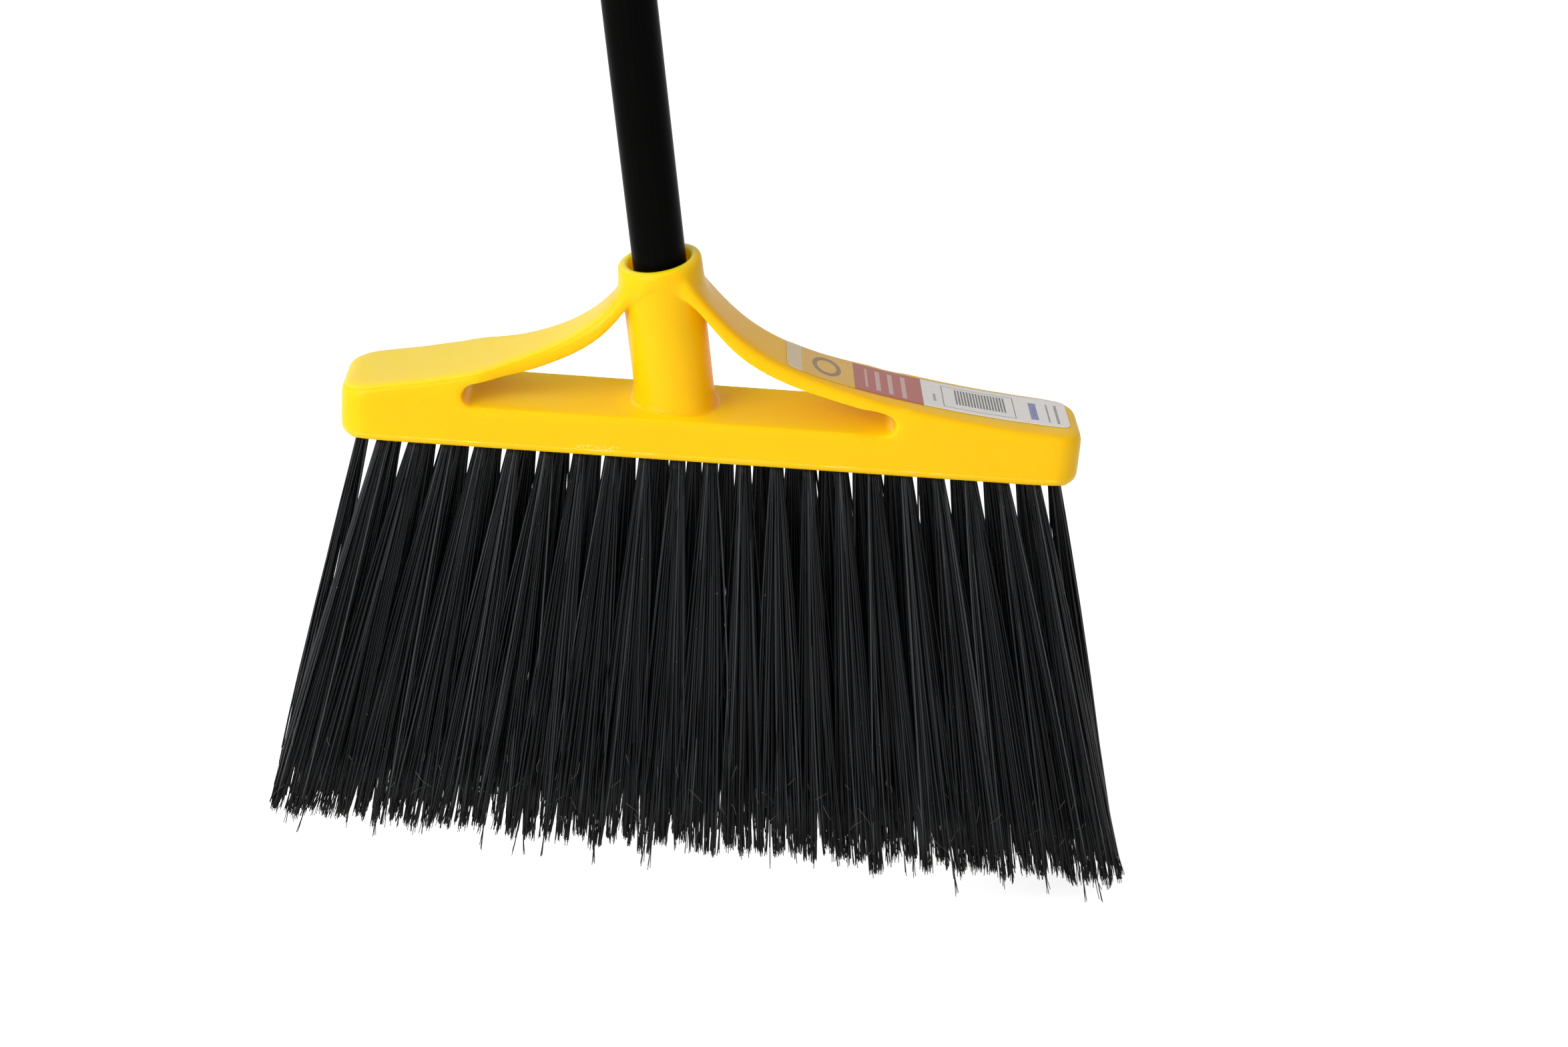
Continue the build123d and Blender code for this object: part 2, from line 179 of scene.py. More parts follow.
def rgba(*colour):
    return (*colour, 1.0)


# Yellow moulding: zones as (middle, reach) and fades as (none, full), in metres along the block frame's axes
# A pale line 3.2 mm above the bottom, broken along its length
line_zone = {"Z": (0.0032, 0.00022)}
scuff_zone = {"Z": (0.0042, 0.0012), "X": (-0.047, 0.009)}
# The deck: a duller gloss, and a painted fill light in the colour
deck_zone = {"Z": (0.0183, 0.0009), "Y": (0, 0.0216), "X": (-0.0135, 0.0915)}
# The pocket at the left end of the left window, where a painted light lifts the shade
pocket_zone = {"X": (-0.078, 0.034), "Z": (0.0222, 0.005), "Y": (0, 0.0208)}
pocket_fade_x, pocket_fade_y = (-0.045, -0.085), (-0.0205, -0.006)
underside_fade_z = (0.019, 0.021)
mouth_radius = 0.0146

# Fades by the surface's normal, for the undersides with their painted fill light and for the tops turned to
# the light with their painted sheen
facing_down = (-0.3, -0.6)
facing_up, facing_left = (0.7, 0.9), (0.25, 0.1)

yellow, yellow_flow = (0.93, 0.5, 0.002), (0.96, 0.54, 0.003)
# Painted sheen: a paler yellow for the tops turned to the light
yellow_painted_sheen = (0.87, 0.63, 0.004)
# Painted fill light: a paler yellow on the deck and on the undersides in the windows
yellow_painted_fill, painted_fill_share = (0.94, 0.62, 0.006), 0.8
# Painted light: a brighter yellow in the pocket at the left end of the left window
yellow_pocket_painted_light = (1.0, 0.73, 0.04)
yellow_pale_line_and_scuff = (1.0, 0.84, 0.35)


def yellow_plastic():
    """Moulded polypropylene with a soft gloss, faint flow marks, a pale line 3.2 mm above the bottom and a
    scuffed bottom edge.

    The deck is duller. The deck and the undersides in the windows are painted paler as painted fill light,
    the left end of the left window is painted brighter as painted light, and the tops turned to the light
    shine more and are painted paler as a painted sheen.
    """
    finish = Finish("yellow_plastic")
    place = finish.block_place()
    axes = finish.add("SeparateXYZ", {"Vector": place}).outputs
    facing = finish.add("SeparateXYZ", {"Vector": finish.add("NewGeometry").outputs["Normal"]}).outputs
    flow = finish.noise(22, 3, 0.55, finish.stretch(place, (0.35, 1, 1)))
    grain = finish.noise(2600, 2)
    line_breaks = finish.span(finish.noise(120, 4, 0.7), 0.5, 0.7)
    rubbed = finish.span(finish.noise(700, 3, 0.7), 0.54, 0.62, 0, 0.7)

    # The pale line along the bottom edge, stronger and weaker along its length
    line = finish.product(finish.zone(axes, line_zone), finish.span(line_breaks, 0, 1, 0.1, 0.7))
    scuff = finish.product(finish.zone(axes, scuff_zone), rubbed)
    deck = finish.zone(axes, deck_zone)
    below = finish.product(finish.span(facing["Z"], *facing_down), finish.span(axes["Z"], *underside_fade_z))
    # Painted fill light on the deck and on the undersides, not a colour of the plastic
    inside = finish.product(finish.math("MAXIMUM", deck, below), painted_fill_share)
    # Painted light in the pocket at the left end of the left window
    pocket_painted_light = finish.product(
        finish.zone(axes, pocket_zone),
        finish.span(axes["X"], *pocket_fade_x),
        finish.span(axes["Y"], *pocket_fade_y),
    )
    # Tops turned to the light: a painted sheen in the colour, and more gloss
    lit = finish.product(
        finish.span(facing["Z"], *facing_up),
        finish.span(facing["X"], *facing_left),
        finish.span(deck, 0, 1, 1, 0),
    )
    mouth = finish.math("LESS_THAN", finish.length(finish.stretch(finish.place, (1, 1, 0))), mouth_radius)

    colour = finish.mix(finish.span(flow, 0.3, 0.7), rgba(*yellow), rgba(*yellow_flow))
    # Painted sheen on the tops turned to the light
    colour = finish.mix(lit, colour, rgba(*yellow_painted_sheen))
    colour = finish.mix(inside, colour, rgba(*yellow_painted_fill))
    colour = finish.mix(pocket_painted_light, colour, rgba(*yellow_pocket_painted_light))
    colour = finish.mix(finish.math("MAXIMUM", line, scuff), colour, rgba(*yellow_pale_line_and_scuff))
    finish.set(Base_Color=colour)
    finish.set(Roughness=finish.span(finish.noise(90, 3), 0.3, 0.7, 0.28, 0.38))
    finish.set(Normal=finish.bump(grain, 0.00002, 0.35, finish.bump(flow, 0.0004, 0.2)))
    finish.set(Subsurface_Weight=finish.span(mouth, 0, 1, 0.6, 1.0), Subsurface_Radius=(1.0, 0.55, 0.08))
    finish.set(Subsurface_Scale=finish.span(mouth, 0, 1, 0.008, 0.03))
    sheen = finish.span(lit, 0, 1, 0, 0.2)
    finish.set(Specular_IOR_Level=finish.math("ADD", sheen, finish.span(deck, 0, 1, 0.12, 0.02)))
    return finish.material


def bristle_black():
    """Extruded filament: satin black, each strand with its own tone, dull and dusty at the split tips."""
    finish = Finish("bristle_black")
    tone = finish.add("NewGeometry").outputs["Random Per Island"]
    along = finish.add("Attribute", attribute_name="along").outputs["Fac"]
    streak = finish.noise(900, 2, 0.6, finish.stretch(finish.place, (1, 1, 0.05)))
    dark = finish.mix(finish.math("POWER", tone, 4.0), rgba(0.0026, 0.003, 0.0036), rgba(0.046, 0.05, 0.054))
    dusty = finish.mix(finish.span(streak, 0.35, 0.75), rgba(0.007, 0.0068, 0.0066), rgba(0.03, 0.028, 0.026))
    tips = finish.span(along, 0.9, 1.0)
    speck = finish.span(finish.noise(650, 2), 0.76, 0.79, 0, 0.7)
    colour = finish.mix(speck, finish.mix(tips, dark, dusty), rgba(0.25, 0.24, 0.22))
    loose = finish.math("GREATER_THAN", along, loose_limit)
    finish.set(Base_Color=finish.mix(loose, colour, rgba(0.2, 0.19, 0.17)))
    rough = finish.span(streak, 0.3, 0.7, 0.26, 0.38)
    finish.set(Roughness=finish.math("MAXIMUM", rough, finish.span(along, 0.88, 0.96, 0.3, 0.75)))
    finish.set(Specular_IOR_Level=0.16)
    return finish.material


def black_coating():
    """Baked black coating on the steel tube, with a faint orange peel and fine rub marks along it."""
    finish = Finish("black_coating")
    peel = finish.noise(420, 3, 0.6)
    rub = finish.noise(60, 5, 0.75, finish.stretch(finish.place, (9, 9, 0.25)))
    worn = finish.span(rub, 0.4, 0.8)
    finish.set(Base_Color=finish.mix(worn, rgba(0.0009, 0.0009, 0.0008), rgba(0.002, 0.002, 0.0018)))
    finish.set(Roughness=finish.span(rub, 0.35, 0.75, 0.3, 0.45))
    finish.set(Normal=finish.bump(peel, 0.00004, 0.3))
    finish.set(Specular_IOR_Level=0.02)
    return finish.material


def black_plastic(name, roughness):
    """Moulded black plastic with a fine spark-eroded grain."""
    finish = Finish(name)
    grain = finish.noise(1900, 3, 0.65)
    smudge = finish.noise(70, 4, 0.6)
    smudged = finish.span(smudge, 0.35, 0.7)
    finish.set(Base_Color=finish.mix(smudged, rgba(0.006, 0.006, 0.007), rgba(0.013, 0.013, 0.013)))
    finish.set(Roughness=finish.span(smudge, 0.3, 0.7, roughness - 0.06, roughness + 0.08))
    finish.set(Normal=finish.bump(grain, 0.00005, 0.5))
    return finish.material


def bright_steel():
    """Cut strip steel with drawing lines."""
    finish = Finish("bright_steel")
    lines = finish.noise(700, 2, 0.6, finish.stretch(finish.place, (0.1, 1, 1)))
    finish.set(Base_Color=finish.mix(lines, rgba(0.5, 0.5, 0.52), rgba(0.68, 0.68, 0.7)))
    finish.set(Roughness=finish.span(lines, 0.3, 0.7, 0.22, 0.4), Metallic=1.0)
    return finish.material


# Label: where it lies on the right arm and where its bands start, in block millimetres
film_left, film_right = 28.5, 150.0
film_front = (-13.6, -10.8)
film_back = (15.2, 18.4)
film_corner = 3.2
film_gap = 0.1
film_thickness = 0.12
film_corner_steps, film_steps, film_rows = 7, 70, 30
film_drop_height = 100.0
label_clear_x = 35.0
label_red_x = 57.5
label_white_x = 87.0

# Plain print, as (low x, high x, low y, high y) with y from the label's middle line
ring_x, ring_half_x, ring_half_y = 45.8, 6.2, 9.5
ring_line = (0.84, 0.16)
red_bars = (
    (62.4, 63.4, -9.5, 10.5),
    (66.9, 68.9, -10.5, 10.5),
    (72.3, 74.3, -11.0, 10.5),
    (78.0, 80.0, -12.0, 11.0),
)
short_bar = (91.6, 92.8, -7.5, 0.5)
frame_outside = (95.7, 127.0, -11.5, 11.0)
frame_line = 0.4
stripe_patch = (101.0, 123.0, -7.0, 9.0)
stripe_pitch = 1.3
stripe_share = 0.6
blue_bar = (133.5, 136.8, -10.0, 8.0)
grey_bars = ((141.0, 141.8, -11.0, 8.5), (144.6, 145.8, -11.5, 8.5))


def label_film():
    """Printed film: a pale strip, a clear, a dull red and a white band, with plain bars and no words."""
    finish = Finish("label_film")
    place = finish.add("SeparateXYZ", {"Vector": finish.block_place()})
    x = place.outputs["X"]
    middles = [(front + back) / 2 * mm for front, back in zip(film_front, film_back)]
    y = finish.math("SUBTRACT", place.outputs["Y"], finish.span(x, film_left * mm, film_right * mm, *middles))
    paper = finish.noise(500, 3, 0.6)
    press = finish.span(finish.noise(1500, 3, 0.7), 0.35, 0.6, 0.7, 0.95)
    tooth = finish.span(paper, 0.3, 0.7)

    def patch(low_x, high_x, low_y, high_y):
        along = finish.near(x, (low_x + high_x) / 2 * mm, (high_x - low_x) / 2 * mm)
        across = finish.near(y, (low_y + high_y) / 2 * mm, (high_y - low_y) / 2 * mm)
        return finish.product(along, across)

    def printed(below, mask, colour):
        return finish.mix(finish.product(mask, press), below, rgba(*colour))

    colour = finish.mix(tooth, rgba(0.66, 0.52, 0.32), rgba(0.72, 0.57, 0.36))
    clear = finish.mix(tooth, rgba(0.72, 0.41, 0.06), rgba(0.78, 0.47, 0.09))
    red = finish.mix(tooth, rgba(0.41, 0.11, 0.09), rgba(0.46, 0.135, 0.115))
    white = finish.mix(tooth, rgba(0.71, 0.68, 0.65), rgba(0.78, 0.75, 0.72))
    for band_start, band in ((label_clear_x, clear), (label_red_x, red), (label_white_x, white)):
        colour = finish.mix(finish.math("GREATER_THAN", x, band_start * mm), colour, band)
    ring_place = finish.add("CombineXYZ", {
        "X": finish.math("DIVIDE", finish.math("SUBTRACT", x, ring_x * mm), ring_half_x * mm),
        "Y": finish.math("DIVIDE", y, ring_half_y * mm),
    })
    radius = finish.length(ring_place.outputs[0])
    colour = printed(colour, finish.near(radius, *ring_line), (0.2, 0.13, 0.09))
    for bar in red_bars:
        colour = printed(colour, patch(*bar), (0.6, 0.42, 0.38))
    low_x, high_x, low_y, high_y = frame_outside
    inside = patch(low_x + frame_line, high_x - frame_line, low_y + frame_line, high_y - frame_line)
    colour = printed(colour, finish.math("SUBTRACT", patch(*frame_outside), inside), (0.07, 0.07, 0.07))
    stripe = finish.math("FRACT", finish.math("DIVIDE", x, stripe_pitch * mm))
    stripes = finish.product(finish.math("LESS_THAN", stripe, stripe_share), patch(*stripe_patch))
    colour = printed(colour, stripes, (0.05, 0.05, 0.05))
    colour = printed(colour, patch(*short_bar), (0.3, 0.29, 0.28))
    colour = printed(colour, patch(*blue_bar), (0.1, 0.12, 0.36))
    for bar in grey_bars:
        colour = printed(colour, patch(*bar), (0.22, 0.21, 0.22))
    finish.set(Base_Color=colour)
    finish.set(Roughness=finish.span(paper, 0.3, 0.7, 0.3, 0.42), Specular_IOR_Level=0.25)
    finish.set(Normal=finish.bump(paper, 0.00003, 0.3))
    return finish.material


# Head moulding: sizes in millimetres, arch points in the block frame
weld = 0.002
voxel = 0.7
soften_rate = 0.5
blend_steps = 1500
blend_near = 25.0
blend_far = 45.0
bore_limit = 14.8
socket_radius = 16.8
rim_keep = 2.2
rim_depth = 12.0
rim_raise = 0.95
rim_tilt_x, rim_tilt_y = 0.056, 0.073
foot_start = -0.5
foot_reach = 10.0
foot_share = 0.25
deck_height = 18.3
deck_half = 110.0
deck_keep = 0.8
deck_near, deck_far = 1.0, 3.0
arch_top_x, arch_top_z = -26.5, 74.0
arch_left_x, arch_left_z = -43.0, 55.6
arch_right_x, arch_right_z = -5.5, 59.7
arch_power = 1.6
arch_soft = 1.6
shave_steps = 30
shave_low, shave_full = 2.0, 6.0
scoop_steps = 150
scoop_x, scoop_z = 71.5, 22.2
scoop_near, scoop_far = 5.0, 13.0
end_steps = 28
end_near, end_far = 132.0, 150.0
end_rim_x, end_rim_y = 150.0, 19.8
hole_rim = 0.6
thread_limit = 10.8
thread_ease = 0.3


def smooth_step(values, low, high):
    share = np.clip((values - low) / (high - low), 0, 1)
    return share * share * (3 - 2 * share)


def settle(piece):
    """Makes the outcome of an object's modifiers its own mesh."""
    mesh = bpy.data.meshes.new_from_object(piece.evaluated_get(bpy.context.evaluated_depsgraph_get()))
    piece.modifiers.clear()
    piece.data = mesh


def remeshed(source, name):
    """An even, closed mesh of a CAD piece, as a new object."""
    mesh = source.data.copy()
    mesh.name = name
    joined = bmesh.new()
    joined.from_mesh(mesh)
    bmesh.ops.remove_doubles(joined, verts=joined.verts, dist=weld * mm)
    joined.to_mesh(mesh)
    joined.free()
    piece = bpy.data.objects.new(name, mesh)
    bpy.context.scene.collection.objects.link(piece)
    remesh = piece.modifiers.new("even", "REMESH")
    remesh.mode = "VOXEL"
    remesh.voxel_size = voxel * mm
    settle(piece)
    return piece


def blend_share(points):
    """How far each point of the moulding takes part in the blend of arms and collar, from 0 to 1."""
    place = block_points(points)
    radius = np.hypot(points[:, 0], points[:, 1]) / mm
    half = np.where(place[:, 0] < arch_top_x, arch_left_x - arch_top_x, arch_right_x - arch_top_x)
    drop = np.where(place[:, 0] < arch_top_x, arch_top_z - arch_left_z, arch_top_z - arch_right_z)
    arch = arch_top_z - drop * np.abs((place[:, 0] - arch_top_x) / half) ** arch_power
    share = smooth_step(place[:, 2] - arch, 0, arch_soft) * (1 - smooth_step(radius, blend_near, blend_far))
    rim = points[:, 2].max() / mm
    below_rim = smooth_step(rim - points[:, 2] / mm, 0, rim_keep)
    above_deck = place[:, 2] - deck_height
    foot = (above_deck > foot_start) * (1 - smooth_step(above_deck, foot_reach / 2, foot_reach))
    foot = foot * (1 - smooth_step(radius, socket_radius + foot_reach / 2, socket_radius + foot_reach))
    return np.maximum(share * below_rim, foot * foot_share) * (radius > bore_limit)


def shave_share(points):
    """How far each point takes part in the softening of edges. The underside, bore and thread stay."""
    radius = np.hypot(points[:, 0], points[:, 1]) / mm
    place = block_points(points)
    on_deck = 1 - smooth_step(np.abs(place[:, 2] - deck_height), deck_near, deck_far)
    on_deck = on_deck * (np.abs(place[:, 0]) < deck_half)
    return smooth_step(place[:, 2], shave_low, shave_full) * (1 - deck_keep * on_deck) * (radius > bore_limit)


def scoop_share(points):
    """How far each point takes part in the scoop at the lower end of the right window."""
    place = block_points(points)
    away = np.hypot(place[:, 0] - scoop_x, place[:, 2] - scoop_z)
    return 1 - smooth_step(away, scoop_near, scoop_far)


def end_share(points):
    """How far each point takes part in the rounding of the block's ends. The tuft holes' rims stay."""
    place = np.abs(block_points(points))
    keeps = (place[:, 2] < hole_rim) & (place[:, 0] < end_rim_x) & (place[:, 1] < end_rim_y)
    return smooth_step(place[:, 0], end_near, end_far) * ~keeps


def vertex_rows(mesh, name):
    rows = np.empty(len(mesh.vertices) * 3)
    mesh.vertices.foreach_get(name, rows)
    return rows.reshape(-1, 3)


def soften(mesh, share_of, steps, way):
    """Moves points along their normals, step by step: out of hollow corners if way is 1, off ridges if -1."""
    points = vertex_rows(mesh, "co")
    normals = vertex_rows(mesh, "normal")
    edges = np.empty(len(mesh.edges) * 2, int)
    mesh.edges.foreach_get("vertices", edges)
    edges = edges.reshape(-1, 2)
    share = share_of(points)
    near = share > 0
    pairs = edges[near[edges[:, 0]] | near[edges[:, 1]]]
    used, pairs = np.unique(pairs, return_inverse=True)
    pairs = pairs.reshape(-1, 2)
    place, out, weight = points[used], way * normals[used], share[used] * soften_rate
    links = np.bincount(pairs.ravel(), minlength=len(used))
    for _ in range(steps):
        total = np.empty_like(place)
        for axis in range(3):
            column = place[:, axis]
            total[:, axis] = (
                np.bincount(pairs[:, 0], column[pairs[:, 1]], len(used))
                + np.bincount(pairs[:, 1], column[pairs[:, 0]], len(used))
            )
        pull = ((total / links[:, None] - place) * out).sum(1)
        place = place + (np.maximum(pull, 0) * weight)[:, None] * out
    points[used] = place
    mesh.vertices.foreach_set("co", points.ravel())
    mesh.update()


def tilt_rim(mesh):
    """Raises the socket's rim towards its far right side, where the moulding stands a little higher."""
    points = vertex_rows(mesh, "co")
    depth = points[:, 2].max() / mm - points[:, 2] / mm
    lift = rim_raise * mm + rim_tilt_x * points[:, 0] + rim_tilt_y * points[:, 1]
    points[:, 2] += lift * (1 - smooth_step(depth, 0, rim_depth))
    mesh.vertices.foreach_set("co", points.ravel())
    mesh.update()


def ease_thread(mesh):
    """Widens the socket's thread a little, so that the even mesh keeps clear of the tip."""
    points = vertex_rows(mesh, "co")
    radius = np.hypot(points[:, 0], points[:, 1]) / mm
    in_thread = (radius < thread_limit) & (block_points(points)[:, 2] > 0)
    points[in_thread, :2] *= 1 + thread_ease / np.maximum(radius[in_thread], 1)[:, None]
    mesh.vertices.foreach_set("co", points.ravel())


def head_shell(finish):
    """The moulding, with its arms flowing into the collar and its edges softened."""
    piece = remeshed(nodes["broom_head"], "head_shell")
    mesh = piece.data
    soften(mesh, blend_share, blend_steps, 1)
    soften(mesh, shave_share, shave_steps, -1)
    soften(mesh, scoop_share, scoop_steps, -1)
    soften(mesh, end_share, end_steps, -1)
    tilt_rim(mesh)
    ease_thread(mesh)
    mesh.shade_smooth()
    mesh.materials.clear()
    mesh.materials.append(finish)
    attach(piece, "head")
    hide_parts("broom_head")
    return piece


def add_label(shell, finish):
    """The label's film, laid on the softened arm, with rounded corners."""
    corners = [vertex.co for vertex in shell.data.vertices]
    surface = BVHTree.FromPolygons(corners, [face.vertices for face in shell.data.polygons])
    ends = film_corner * (1 - np.cos(np.linspace(0, np.pi / 2, film_corner_steps)))
    length = film_right - film_left
    straight = np.linspace(film_corner, length - film_corner, film_steps)[1:-1]
    run = np.concatenate([ends, straight, length - ends[::-1]])
    inset = np.clip(film_corner - np.minimum(run, length - run), 0, None)
    inset = film_corner - np.sqrt(film_corner ** 2 - inset ** 2)
    share = np.linspace(0, 1, film_rows)
    down = block_turn @ Vector((0, 0, -1))
    points = []
    for step, cut in zip(run, inset):
        front, back = (low + (high - low) * step / length for low, high in (film_front, film_back))
        for y in front + cut + (back - front - 2 * cut) * share:
            hit = surface.ray_cast(spot(film_left + step, y, film_drop_height), down)[0]
            points.append(hit - down * film_gap * mm)
    first = [i * film_rows + j for i in range(len(run) - 1) for j in range(film_rows - 1)]
    mesh = bpy.data.meshes.new("label")
    mesh.from_pydata(points, [], [(i, i + film_rows, i + film_rows + 1, i + 1) for i in first])
    piece = bpy.data.objects.new("label", mesh)
    bpy.context.scene.collection.objects.link(piece)
    film = piece.modifiers.new("film", "SOLIDIFY")
    film.thickness = film_thickness * mm
    film.offset = 1.0
    settle(piece)
    piece.data.shade_smooth()
    piece.data.materials.append(finish)
    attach(piece, "head")
    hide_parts("product_label")


# Bristles: sizes in millimetres, stations and heights as shares of a strand's length
root_slice, tip_slice, tuft_gap = 0.5, 3.0, 3.5
strands_per_tuft = 62
strand_seed = 1000
strand_radius = 0.41
strand_variety = (0.85, 1.15)
strand_sides = 4
strand_stations = (0, 0.05, 0.12, 0.22, 0.36, 0.54, 0.77, 0.9, 1)
strand_bow = (1.0, 0.8, 0)
strand_raggedness = 1.5
root_depth = 0.8
root_fill = 0.7
fan_x = 12.0
fan_y = 9.0
tip_scatter = (2.0, 1.5)
field_edge = 3.0
field_soft = 4.0
outer_spread = 0.05
outer_row_y = 5.0
trim_fall = -math.tan(math.radians(1.6))
golden_turn = math.pi * (3 - math.sqrt(5))

# Clumps of tips, stray strands, split tips and loose hairs
clump_seed = 7
clump_x = 7.5
clump_y = 9.0
clump_middle = (0.25, 0.75)
clump_pull = 0.26
clump_start = 0.88
clump_power = 1.5
clump_raggedness = 2.1
stray_share = 0.02
stray_reach = (6.0, 14.0)
flag_length = 10.0
flags_per_strand = 3
flag_sides = 3
flag_overlap = 0.01
flag_taper = (0.65, 0.6, 0.5)
fray_spread = 0.5
fray_shape = (1, 1, 2.2)
fray_halfway = 0.5
hairs_per_column = 4
hair_pool = 6
hair_radius = 0.08
hair_sides = 3
hair_length = (4.0, 11.0)
hair_heights = (0.8, 0.95)
hair_lean = 0.9
hair_depth_lean = 0.3
hair_bend = 0.5
hair_front = 1.0
loose_mark, loose_limit = 1.5, 1.2


def tuft_places(name):
    """Root and tip of each tuft in a column, from its solids: (root centre, root radius, tip centre)."""
    points = block_points([v.co for v in nodes[name].data.vertices])
    places = []
    height = points[:, 2]
    ends = (points[height > height.max() - root_slice], points[height < height.min() + tip_slice])
    for end in ends:
        end = end[np.argsort(end[:, 1])]
        groups = np.split(end, np.flatnonzero(np.diff(end[:, 1]) > tuft_gap) + 1)
        centres = [(group.min(0) + group.max(0)) / 2 for group in groups]
        radii = [np.hypot(*(group - centre)[:, :2].T).max() for group, centre in zip(groups, centres)]
        places.append((centres, radii))
    (roots, root_radii), (tips, _) = places
    return list(zip(roots, root_radii, tips))


def tubes(paths, radii, sides):
    """Vertices and faces of closed tubes along paths, an array of strands, stations and coordinates."""
    count, stations, _ = paths.shape
    turn = np.linspace(0, 2 * np.pi, sides, endpoint=False)
    ring = np.stack([np.cos(turn), np.sin(turn), np.zeros(sides)], axis=1)
    points = paths[:, :, None, :] + radii[..., None, None] * ring
    first = np.arange(count)[:, None, None] * stations * sides
    lower = first + np.arange(stations - 1)[None, :, None] * sides + np.arange(sides)
    beside = first + np.arange(stations - 1)[None, :, None] * sides + (np.arange(sides) + 1) % sides
    walls = np.stack([lower, lower + sides, beside + sides, beside], axis=-1).reshape(-1, 4)
    ends = [first[:, 0] + np.arange(sides), first[:, 0] + (stations - 1) * sides + np.arange(sides)[::-1]]
    return points.reshape(-1, 3), walls.tolist() + [face for end in ends for face in end.tolist()]


def clump_grid(rng, low, high):
    """Cells in which the tips stick together, each with its own middle and its own length."""
    shape = (int((high[0] - low[0]) / clump_x) + 1, int((high[1] - low[1]) / clump_y) + 1)
    return rng.uniform(*clump_middle, (*shape, 2)), rng.normal(0, clump_raggedness, shape)


def tuft_strands(rng, place, field):
    """Roots, tips and tip pulls of one tuft's strands. The field holds the tips' corners and their clumps."""
    root, root_radius, tip = place
    low, high, (middles, lengths) = field
    count = strands_per_tuft
    order = np.arange(count) + 0.5
    radius = np.sqrt(order / count)
    turn = order * golden_turn + rng.uniform(0, 2 * np.pi)
    side = np.stack([radius * np.cos(turn), radius * np.sin(turn)], axis=1)
    starts = np.column_stack([root[:2] + root_radius * root_fill * side, np.full(count, root_depth)])
    outward = outer_spread * (tip[0] - (low[0] + high[0]) / 2) * (abs(root[1]) > outer_row_y)
    tips = tip[:2] + (outward, 0) + side * (fan_x, fan_y) + rng.normal(0, 1, (count, 2)) * tip_scatter
    inset = rng.uniform(0, field_soft, (count, 2))
    tips = tips.clip(low + inset, high - inset)
    cell = ((tips - low) / (clump_x, clump_y)).astype(int).clip(0, np.array(lengths.shape) - 1)
    heart = low + (cell + middles[cell[:, 0], cell[:, 1]]) * (clump_x, clump_y)
    pull = np.column_stack([(heart - tips) * clump_pull, np.zeros(count)])
    drop = lengths[cell[:, 0], cell[:, 1]] + rng.normal(0, strand_raggedness, count)
    drop += (rng.random(count) < stray_share) * rng.uniform(*stray_reach, count)
    slope = trim_fall * (tips[:, 0] - tip[0])
    return starts, np.column_stack([tips, tip[2] + slope - drop]), pull


def strand_paths(strands, stations):
    """Points along each strand at the given stations, bowed and drawn to its clump near the tip."""
    starts, ends, pull, bow = (rows[:, None] for rows in strands)
    share = np.asarray(stations)[None, :, None]
    late = np.clip((share - clump_start) / (1 - clump_start), 0, 1) ** clump_power
    return starts + (ends - starts) * share + pull * late + bow * 4 * share * (1 - share)


def picked(strands, chosen):
    return [rows[chosen] for rows in strands]


def strand_bodies(rng, strands, split):
    """Tubes from the roots to where the tips split: points, faces and each point's station."""
    count = len(strands[0])
    stations = split * np.array(strand_stations)
    radii = np.full((count, len(stations)), strand_radius) * rng.uniform(*strand_variety, (count, 1))
    points, faces = tubes(strand_paths(strands, stations), radii, strand_sides)
    return points, faces, np.tile(np.repeat(stations, strand_sides), count)


def split_tips(rng, strands, split):
    """A few finer tubes at the end of each strand, frayed apart: points, faces and stations."""
    owners = np.repeat(np.arange(len(strands[0])), flags_per_strand)
    stations = np.array([split - flag_overlap, (1 + split) / 2, 1.0])
    paths = strand_paths(picked(strands, owners), stations)
    fray = rng.normal(0, fray_spread, (len(owners), 3)) * fray_shape
    paths[:, 1] += fray * fray_halfway
    paths[:, 2] += fray
    radii = np.tile(flag_taper, (len(owners), 1)) * strand_radius
    points, faces = tubes(paths, radii, flag_sides)
    return points, faces, np.tile(np.repeat(stations, flag_sides), len(owners))


def loose_hairs(rng, strands):
    """Single pale hairs caught on the front strands near their tips: points, faces and marks."""
    count = hairs_per_column
    depth = strands[1][:, 1]
    front = rng.choice(np.argsort(depth)[:len(depth) // hair_pool], count)
    middles = strand_paths(picked(strands, front), np.linspace(*hair_heights, count))
    middles = middles[np.arange(count), np.arange(count)] - (0, hair_front, 0)
    lean = np.tan(rng.uniform(-hair_lean, hair_lean, count))
    reach = np.column_stack([lean, rng.uniform(-hair_depth_lean, hair_depth_lean, count), np.ones(count)])
    reach *= (rng.uniform(*hair_length, count) / np.linalg.norm(reach, axis=1))[:, None]
    paths = middles[:, None] + reach[:, None] * np.array([-0.5, 0, 0.5])[None, :, None]
    paths[:, 1] += rng.normal(0, hair_bend, (count, 3))
    points, faces = tubes(paths, np.full((count, 3), hair_radius), hair_sides)
    return points, faces, np.full(len(points), loose_mark)


def joined(parts):
    """Several sets of points, faces and stations as one."""
    points, faces, stations = zip(*parts)
    firsts = np.cumsum([0] + [len(rows) for rows in points]).tolist()
    shifted = [[corner + first for corner in face] for first, group in zip(firsts, faces) for face in group]
    return np.concatenate(points), shifted, np.concatenate(stations)


